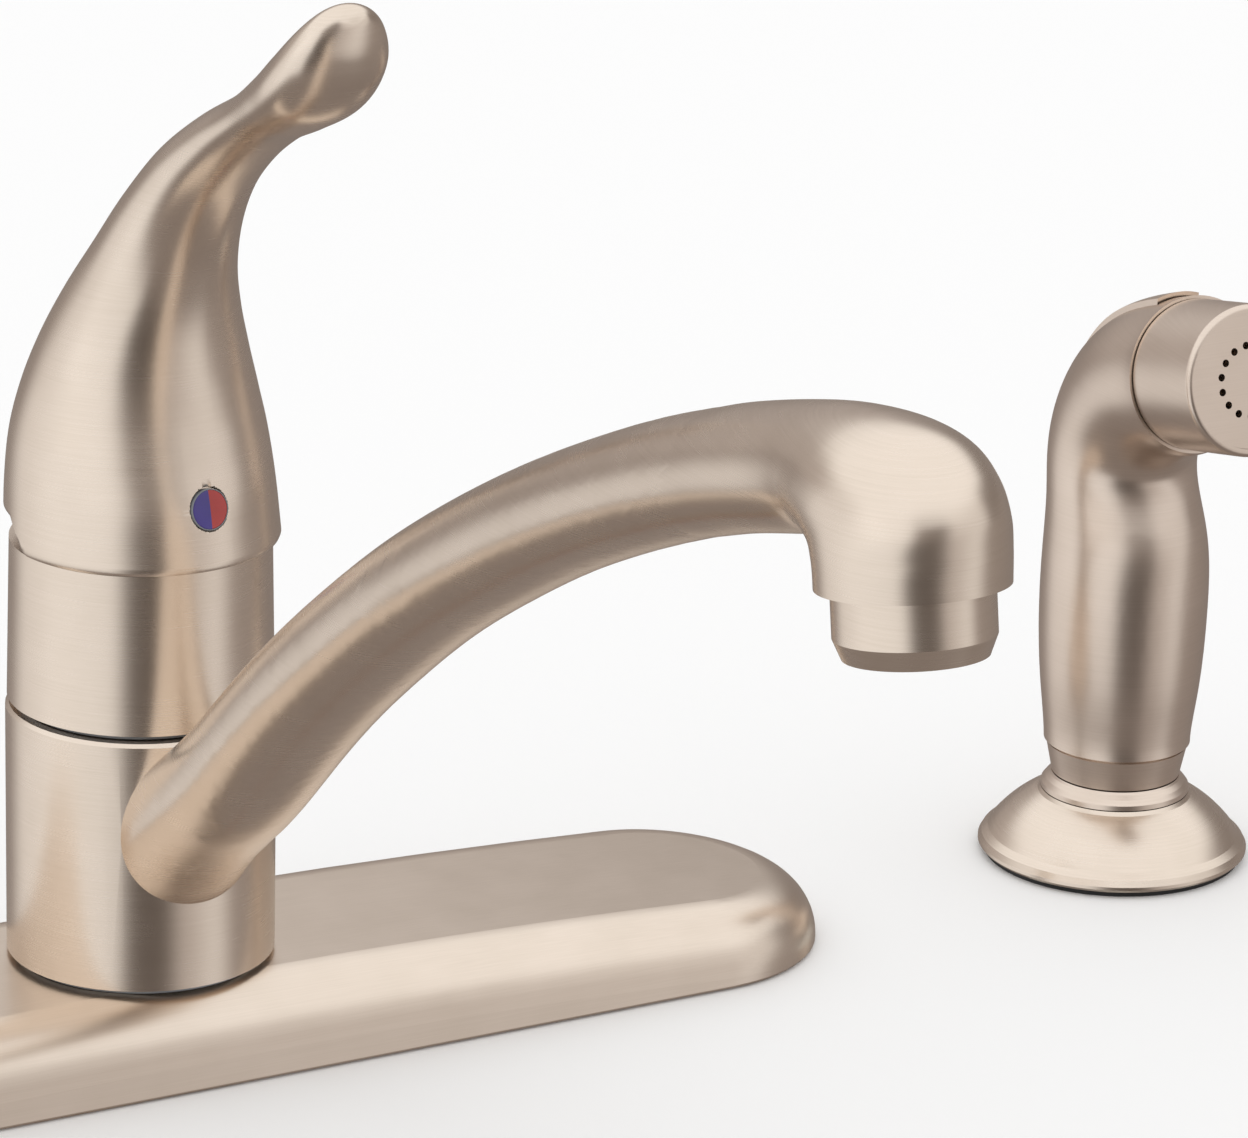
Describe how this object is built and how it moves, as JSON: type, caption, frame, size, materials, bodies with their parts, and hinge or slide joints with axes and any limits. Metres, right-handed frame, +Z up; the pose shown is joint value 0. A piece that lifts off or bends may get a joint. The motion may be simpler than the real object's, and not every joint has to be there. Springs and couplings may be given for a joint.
{
  "type": "side spray kitchen faucet",
  "caption": "Single-lever deck faucet with a crowned deck plate, a high swinging spout and a separate hand spray standing in its own flared deck guide.",
  "frame": {"origin": "axis of the faucet body where it meets the deck surface, at the middle deck hole", "axes": "+Z up, the spout points to -Y towards the user, and the deck plate and the hand spray lie along X with the spray on +X"},
  "size_m": [0.3619, 0.2942, 0.2711],
  "materials": {
    "satin_nickel": "satin brushed nickel, warm tint",
    "nickel_coated_plastic": "satin nickel coat over plastic",
    "brass_casting": "machined",
    "copper_tube": "drawn",
    "zinc_casting": "as cast",
    "plated_steel": "zinc plated",
    "stainless_steel": "bright",
    "white_plastic": "moulded",
    "grey_plastic": "moulded",
    "black_rubber": "matt",
    "blue_enamel": "glossy",
    "red_enamel": "glossy"
  },
  "bodies": {
    "faucet_base": {"deck_plate": "satin_nickel", "deck_gasket": "black_rubber", "mounting_studs": "plated_steel", "stud_washers": "plated_steel", "stud_wing_nuts": "white_plastic", "shank_washer": "plated_steel", "shank_nut": "brass_casting", "valve_body": "brass_casting", "hot_supply_tube": "copper_tube", "cold_supply_tube": "copper_tube", "spray_supply_tube": "copper_tube", "spout_lower_o_ring": "black_rubber", "spout_upper_o_ring": "black_rubber", "diverter_spring": "stainless_steel", "lower_glide_ring": "grey_plastic", "upper_glide_ring": "grey_plastic", "upper_sleeve": "satin_nickel", "cartridge_shell": "white_plastic", "cartridge_seals": "black_rubber", "cartridge_clip": "stainless_steel", "retaining_nut": "brass_casting", "spray_guide": "satin_nickel", "guide_insert": "nickel_coated_plastic", "guide_gasket": "black_rubber", "guide_washer": "plated_steel", "guide_nut": "white_plastic"},
    "swivel_spout": {"spout": "satin_nickel", "aerator_housing": "satin_nickel", "aerator_screen": "stainless_steel", "aerator_insert": "grey_plastic", "aerator_washer": "black_rubber"},
    "handle_carrier": {"handle_adapter": "white_plastic", "handle_pivot_pin": "stainless_steel"},
    "handle": {"lever_handle": "satin_nickel", "handle_block": "zinc_casting", "handle_set_screw": "stainless_steel", "temperature_button": "grey_plastic", "cold_marker": "blue_enamel", "hot_marker": "red_enamel"},
    "stem": {"cartridge_stem": "grey_plastic"},
    "diverter": {"diverter_piston": "white_plastic"},
    "hand_spray": {"spray_base_ring": "nickel_coated_plastic", "spray_grip": "nickel_coated_plastic", "spray_nozzle": "nickel_coated_plastic", "spray_face": "nickel_coated_plastic", "hose_coupling": "brass_casting", "hose_washer": "black_rubber", "trigger_pin": "stainless_steel", "spray_valve_spring": "stainless_steel"},
    "trigger": {"spray_trigger": "nickel_coated_plastic"},
    "spray_valve": {"spray_valve_stem": "white_plastic"}
  },
  "joints": [
    {"name": "spout_swivel", "type": "hinge", "parent": "faucet_base", "child": "swivel_spout", "pos_m": [0, 0, 0.04], "axis": [0, 0, 1], "range_deg": [-110, 110]},
    {"name": "handle_turn", "type": "hinge", "parent": "faucet_base", "child": "handle_carrier", "pos_m": [0, 0, 0.1], "axis": [0, 0, 1], "range_deg": [-51, 39]},
    {"name": "handle_lift", "type": "hinge", "parent": "handle_carrier", "child": "handle", "pos_m": [-0.00125, 0.01193, 0.106], "axis": [-0.9945, -0.1045, 0], "range_deg": [0, 20]},
    {"name": "stem_slide", "type": "slide", "parent": "handle_carrier", "child": "stem", "axis": [0, 0, 1], "range_m": [0, 0.0045]},
    {"name": "diverter_slide", "type": "slide", "parent": "faucet_base", "child": "diverter", "axis": [0, 0, -1], "range_m": [0, 0.0025], "stiffness_N_per_m": 120, "springref_m": -0.0005, "deforming": ["diverter_spring"]},
    {"name": "spray_lift", "type": "slide", "parent": "faucet_base", "child": "hand_spray", "axis": [0, 0, 1], "range_m": [0, 0.12]},
    {"name": "trigger_press", "type": "hinge", "parent": "hand_spray", "child": "trigger", "pos_m": [0.2032, -0.0095, 0.1084], "axis": [-1, 0, 0], "range_deg": [0, 3], "stiffness_Nm_per_rad": 0.4, "springref_deg": -1.15},
    {"name": "spray_valve_slide", "type": "slide", "parent": "hand_spray", "child": "spray_valve", "axis": [0, 0, -1], "range_m": [0, 0.000895], "deforming": ["spray_valve_spring"]}
  ],
  "couplings": [
    {"joint": "stem_slide", "follows": "handle_lift", "m_per_rad": 0.012},
    {"joint": "trigger_press", "follows": "spray_valve_slide", "rad_per_m": 58.4}
  ]
}
